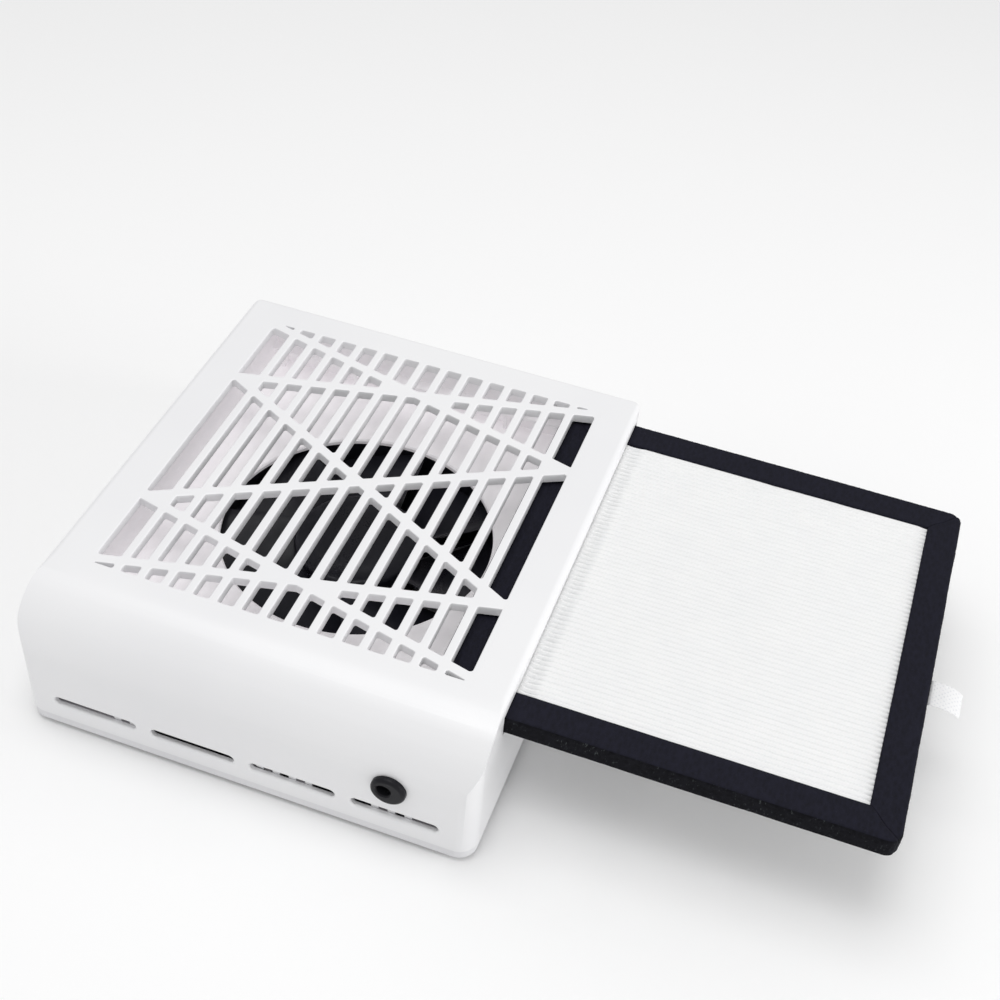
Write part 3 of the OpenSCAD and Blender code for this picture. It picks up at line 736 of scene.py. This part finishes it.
def split_by(poly, a, b):
    """The parts of a convex polygon above and below the band between y = a[0] + b*x and y = a[1] + b*x."""
    out = []
    for sign, offset in ((1, a[1]), (-1, a[0])):
        part = []
        for k, p in enumerate(poly):
            q = poly[(k + 1) % len(poly)]
            dp, dq = sign * (p[1] - offset - b * p[0]), sign * (q[1] - offset - b * q[0])
            if dp >= 0:
                part.append(p)
            if dp * dq < 0:
                f = dp / (dp - dq)
                part.append((p[0] + (q[0] - p[0]) * f, p[1] + (q[1] - p[1]) * f))
        if len(part) > 2 and abs(poly_area(part)) > LEAST_HOLE:
            out.append(part)
    return out


def poly_area(poly):
    return sum(p[0] * q[1] - q[0] * p[1] for p, q in zip(poly, poly[1:] + poly[:1])) / 2


def rounded(poly, r, edge_x):
    """A convex polygon (counted anticlockwise) with round corners, as (point, outward normal) pairs."""
    poly = [Vector((*p, 0)) for p in poly]
    kept = [p for k, p in enumerate(poly) if (p - poly[k - 1]).length > 0.15 * MM]
    out = []
    for k, p in enumerate(kept):
        a, b = kept[k - 1], kept[(k + 1) % len(kept)]
        u, v = (a - p), (b - p)
        half = u.angle(v) / 2
        want = r * 1.7 if abs(abs(p.x) - edge_x) < 0.1 * MM else r
        reach = min(want / math.tan(half), 0.46 * u.length, 0.46 * v.length, 1.7 * MM)
        rad = reach * math.tan(half)
        centre = p + (u.normalized() + v.normalized()).normalized() * (rad / math.sin(half))
        n0 = (p + u.normalized() * reach - centre).normalized()
        n1 = (p + v.normalized() * reach - centre).normalized()
        for i in range(5):
            n = n0.lerp(n1, i / 4)
            n.normalize()
            out.append((centre + n * rad, n))
    return out


def grille_holes(low, high):
    """The openings between the slats and the crossing bars, each as (point, outward normal) pairs."""
    (x0, y0), (x1, y1) = low[:2], high[:2]
    slats, pitch, slat, bar = 14, 11.04 * MM, 3.75 * MM, 4.6 * MM
    node_y = [y1 - 1.5 * MM, 54 * MM, -35.5 * MM, y0 + 2.5 * MM]
    middles = [(i - (slats - 1) / 2) * pitch for i in range(slats)]
    edges = [x0] + [x for mid in middles for x in (mid - slat / 2, mid + slat / 2)] + [x1]
    holes = []
    for a, b in zip(edges[::2], edges[1::2]):
        parts = [[(a, y0), (b, y0), (b, y1), (a, y1)]]
        for i, j in ((0, 1), (1, 0), (1, 2), (2, 1), (2, 3), (3, 2)):
            slope = (node_y[j] - node_y[i]) / (x1 - x0)
            mid = node_y[i] - slope * x0
            half = bar / 2 * math.hypot(1, slope)
            parts = [q for p in parts for q in split_by(p, (mid - half, mid + half), slope)]
        least = LEAST_MIDDLE_HOLE if abs(a) < 20 * MM else LEAST_HOLE
        holes += [rounded(p, 0.9 * MM, x1) for p in parts if abs(poly_area(p)) > least]
    return holes


def grille_plate(margin):
    """The slats and crossing bars as one moulded plate: holes with round corners and rolled upper edges."""
    low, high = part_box("grille")
    x0, x1, y0, y1, z0, z1 = low[0], high[0], low[1], high[1], low[2], high[2]
    roll = 0.5 * MM
    quarter = [math.radians(a) for a in (0, 30, 60, 90)]
    levels = [(roll * (1 - math.sin(t)), z1 - roll + roll * math.cos(t)) for t in quarter] + [(0, z0)]
    verts, faces, top, under = [], [], [], []
    for hole in grille_holes(low, high):
        n = len(hole)
        start = len(verts)
        for out, z in levels:
            for p, nor in hole:
                verts.append((p.x + nor.x * out, p.y + nor.y * out, z))
        for k in range(len(levels) - 1):
            for i in range(n):
                j = (i + 1) % n
                above, below = start + k * n, start + (k + 1) * n
                faces.append((above + i, above + j, below + j, below + i))
        top.append(list(range(start, start + n)))
        under.append(list(range(start + (len(levels) - 1) * n, start + len(levels) * n)))
    left, right, front, back = x0 - margin, x1 + margin, y0 - margin, y1 + margin
    rim = [(left, front), (right, front), (right, back), (left, back)]
    corner = len(verts)
    verts += [(*p, z1) for p in rim] + [(*p, z0) for p in rim]
    for i in range(4):
        j = (i + 1) % 4
        faces.append((corner + j, corner + i, corner + 4 + i, corner + 4 + j))
    for loops, first, flip in ((top, corner, False), (under, corner + 4, True)):
        faces += holed(verts, [list(range(first, first + 4))] + loops, flip)
    obj = new_piece("grille_slats", verts, faces, "cover_plastic", "housing", "grille")
    obj.data.set_sharp_from_angle(angle=math.radians(50))
    flat = obj.modifiers.new("even", "WEIGHTED_NORMAL")
    flat.keep_sharp = True
    return obj


def holed(verts, loops, flip):
    """Triangles of the flat region inside the first loop and outside the others."""
    index = [i for loop in loops for i in loop]
    pts = [Vector(verts[i][:2]) for i in index]
    lines, at = [], 0
    for loop in loops:
        lines += [(at + k, at + (k + 1) % len(loop)) for k in range(len(loop))]
        at += len(loop)
    got, _, tris, origin, _, _ = delaunay_2d_cdt(pts, lines, [], 1, 1e-9)
    back = [index[o[0]] for o in origin]
    rings = [np.array([verts[i][:2] for i in loop]) for loop in loops[1:]]
    boxes = [(r.min(0), r.max(0)) for r in rings]
    out = []
    for t in tris:
        c = (got[t[0]] + got[t[1]] + got[t[2]]) / 3
        hole = False
        for r, (lo, hi) in zip(rings, boxes):
            if lo[0] < c.x < hi[0] and lo[1] < c.y < hi[1]:
                nxt = np.roll(r, -1, 0)
                side = (nxt[:, 0] - r[:, 0]) * (c.y - r[:, 1]) - (nxt[:, 1] - r[:, 1]) * (c.x - r[:, 0])
                if (side > -1e-14).all():
                    hole = True
                    break
        if not hole:
            f = tuple(back[i] for i in t)
            out.append(f[::-1] if flip else f)
    return out


def hub_profile(hub, base):
    """The closed section of the hub cup, of radius hub, over the level of the fan frame's foot."""
    rim, wall = 2.5 * MM, 1.6 * MM
    z0, z1 = base + 3.3 * MM, base + 23 * MM
    profile = [(hub - wall, z0), (hub, z0)]
    profile += [(hub - 0.25 * MM * (1 - f), z0 + (z1 - rim - z0) * f) for f in (0.03, 0.25, 0.5, 0.75)]
    quarter = [math.radians(90 * i / 8) for i in range(9)]
    profile += [(hub - rim + rim * math.cos(a), z1 - rim + rim * math.sin(a)) for a in quarter]
    dish, shaft, boss = z1 - 0.25 * MM, 1.5 * MM, 4 * MM
    roof, foot, under = base + 22 * MM, base + 18.4 * MM, base + 21 * MM
    profile += [(hub * 0.7, z1), (hub * 0.68, dish), (hub * 0.3, dish), (0, dish), (0, roof), (shaft, roof)]
    return profile + [(shaft, foot), (boss, foot), (boss, under), (hub - wall, under)]


def add_blade(verts, faces, centre, base, root, tip, turn):
    """Adds one broad twisted blade, thin at its edges, from the radius root to tip."""
    n, m = 30, 12  # steps round the fan, and out along the blade
    span, sweep, thick = 58.0, 9, 1.6 * MM
    w, q = n + 1, (n + 1) * (m + 1)
    start = len(verts)
    for k in (0, 1):
        for j in range(m + 1):
            g = j / m
            for i in range(n + 1):
                f = i / n
                a = math.radians((f - 0.5) * span + sweep * g + turn)
                r = root + (tip - root) * g
                top = 22.6 - f * (17.2 - 1.5 * g) - 0.9 * math.sin(math.pi * f)
                thin = 0.25 + 0.75 * min(1.0, math.sin(math.pi * f) * 5) ** 0.5
                thin *= 1.0 if g < 0.98 else 0.5
                z = top * MM - thick / 2 + (thick / 2 * thin if k == 0 else -thick / 2 * thin)
                verts.append((centre[0] + r * math.cos(a), centre[1] + r * math.sin(a), base + z))
    for j in range(m):
        for i in range(n):
            a0 = start + j * w + i
            faces.append((a0, a0 + w, a0 + w + 1, a0 + 1))
            faces.append((q + a0, q + a0 + 1, q + a0 + w + 1, q + a0 + w))
    for i in range(n):
        a0, a1 = start + i, start + m * w + i
        faces.append((a0, a0 + 1, q + a0 + 1, q + a0))
        faces.append((a1, q + a1, q + a1 + 1, a1 + 1))
    for j in range(m):
        a0, a1 = start + j * w, start + j * w + n
        faces.append((a0, q + a0, q + a0 + w, a0 + w))
        faces.append((a1, a1 + w, q + a1 + w, q + a1))


def fan_blades():
    """The hub cup and its seven broad blades, with thin rounded edges."""
    low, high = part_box("fan_rotor")
    centre = ((low[0] + high[0]) / 2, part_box("rotor_shaft")[0][1] + 1.5 * MM)
    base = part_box("fan_frame")[0][2]
    hub, tip, sunk, blades = 29 * MM, 64.8 * MM, 0.6 * MM, 7
    verts, faces = [], []
    lathe(verts, faces, hub_profile(hub, base), centre)
    for b in range(blades):
        add_blade(verts, faces, centre, base, hub - sunk, tip, b * 360 / blades)
    obj = new_piece("fan_blades_and_hub", verts, faces, "black_plastic", "rotor", "fan_rotor")
    fix_normals(obj)
    obj.data.set_sharp_from_angle(angle=math.radians(40))
    return obj


def floor():
    far = 3
    verts = [(-far, -far, 0), (far, -far, 0), (far, far, 0), (-far, far, 0)]
    mesh = bpy.data.meshes.new("floor")
    mesh.from_pydata(verts, [], [(0, 1, 2, 3)])
    mesh.materials.append(floor_paint())
    obj = bpy.data.objects.new("floor", mesh)
    SCENE.collection.objects.link(obj)


for part in frame["record"]["subparts"]:
    shown = NODES[part["node"]]
    shown.data.materials.clear()
    shown.data.materials.append(PAINT[part["material_slot"]])

floor()
MARGIN = 2.5 * MM
GRILLE_LOW, GRILLE_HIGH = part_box("grille")
WINDOW = (
    (GRILLE_LOW[0] - MARGIN, GRILLE_LOW[1] - MARGIN),
    (GRILLE_HIGH[0] + MARGIN, GRILLE_HIGH[1] + MARGIN),
    GRILLE_LOW[2] - 0.5 * MM,
)

soften("top_cover", "cover_plastic", 0.35 * MM, cutter=flared_slots(), window=WINDOW)
grille_plate(MARGIN)
soften("base_tray", "tray_plastic", 0.3 * MM)
soften("fan_deck", "deck_plastic", 0.4 * MM)
for wall_node in ("filter_stop_wall", "filter_rail_front", "filter_rail_back"):
    soften(wall_node, "deck_plastic", 0.3 * MM)
soften("fan_frame", "black_plastic", 0.35 * MM)
for side, turn in (("right", 0), ("back", 90), ("left", 180), ("front", 270)):
    filter_bar("filter_frame_" + side, "filter_bar_" + side, turn)
filter_paper()
pull_tab()
fan_blades()
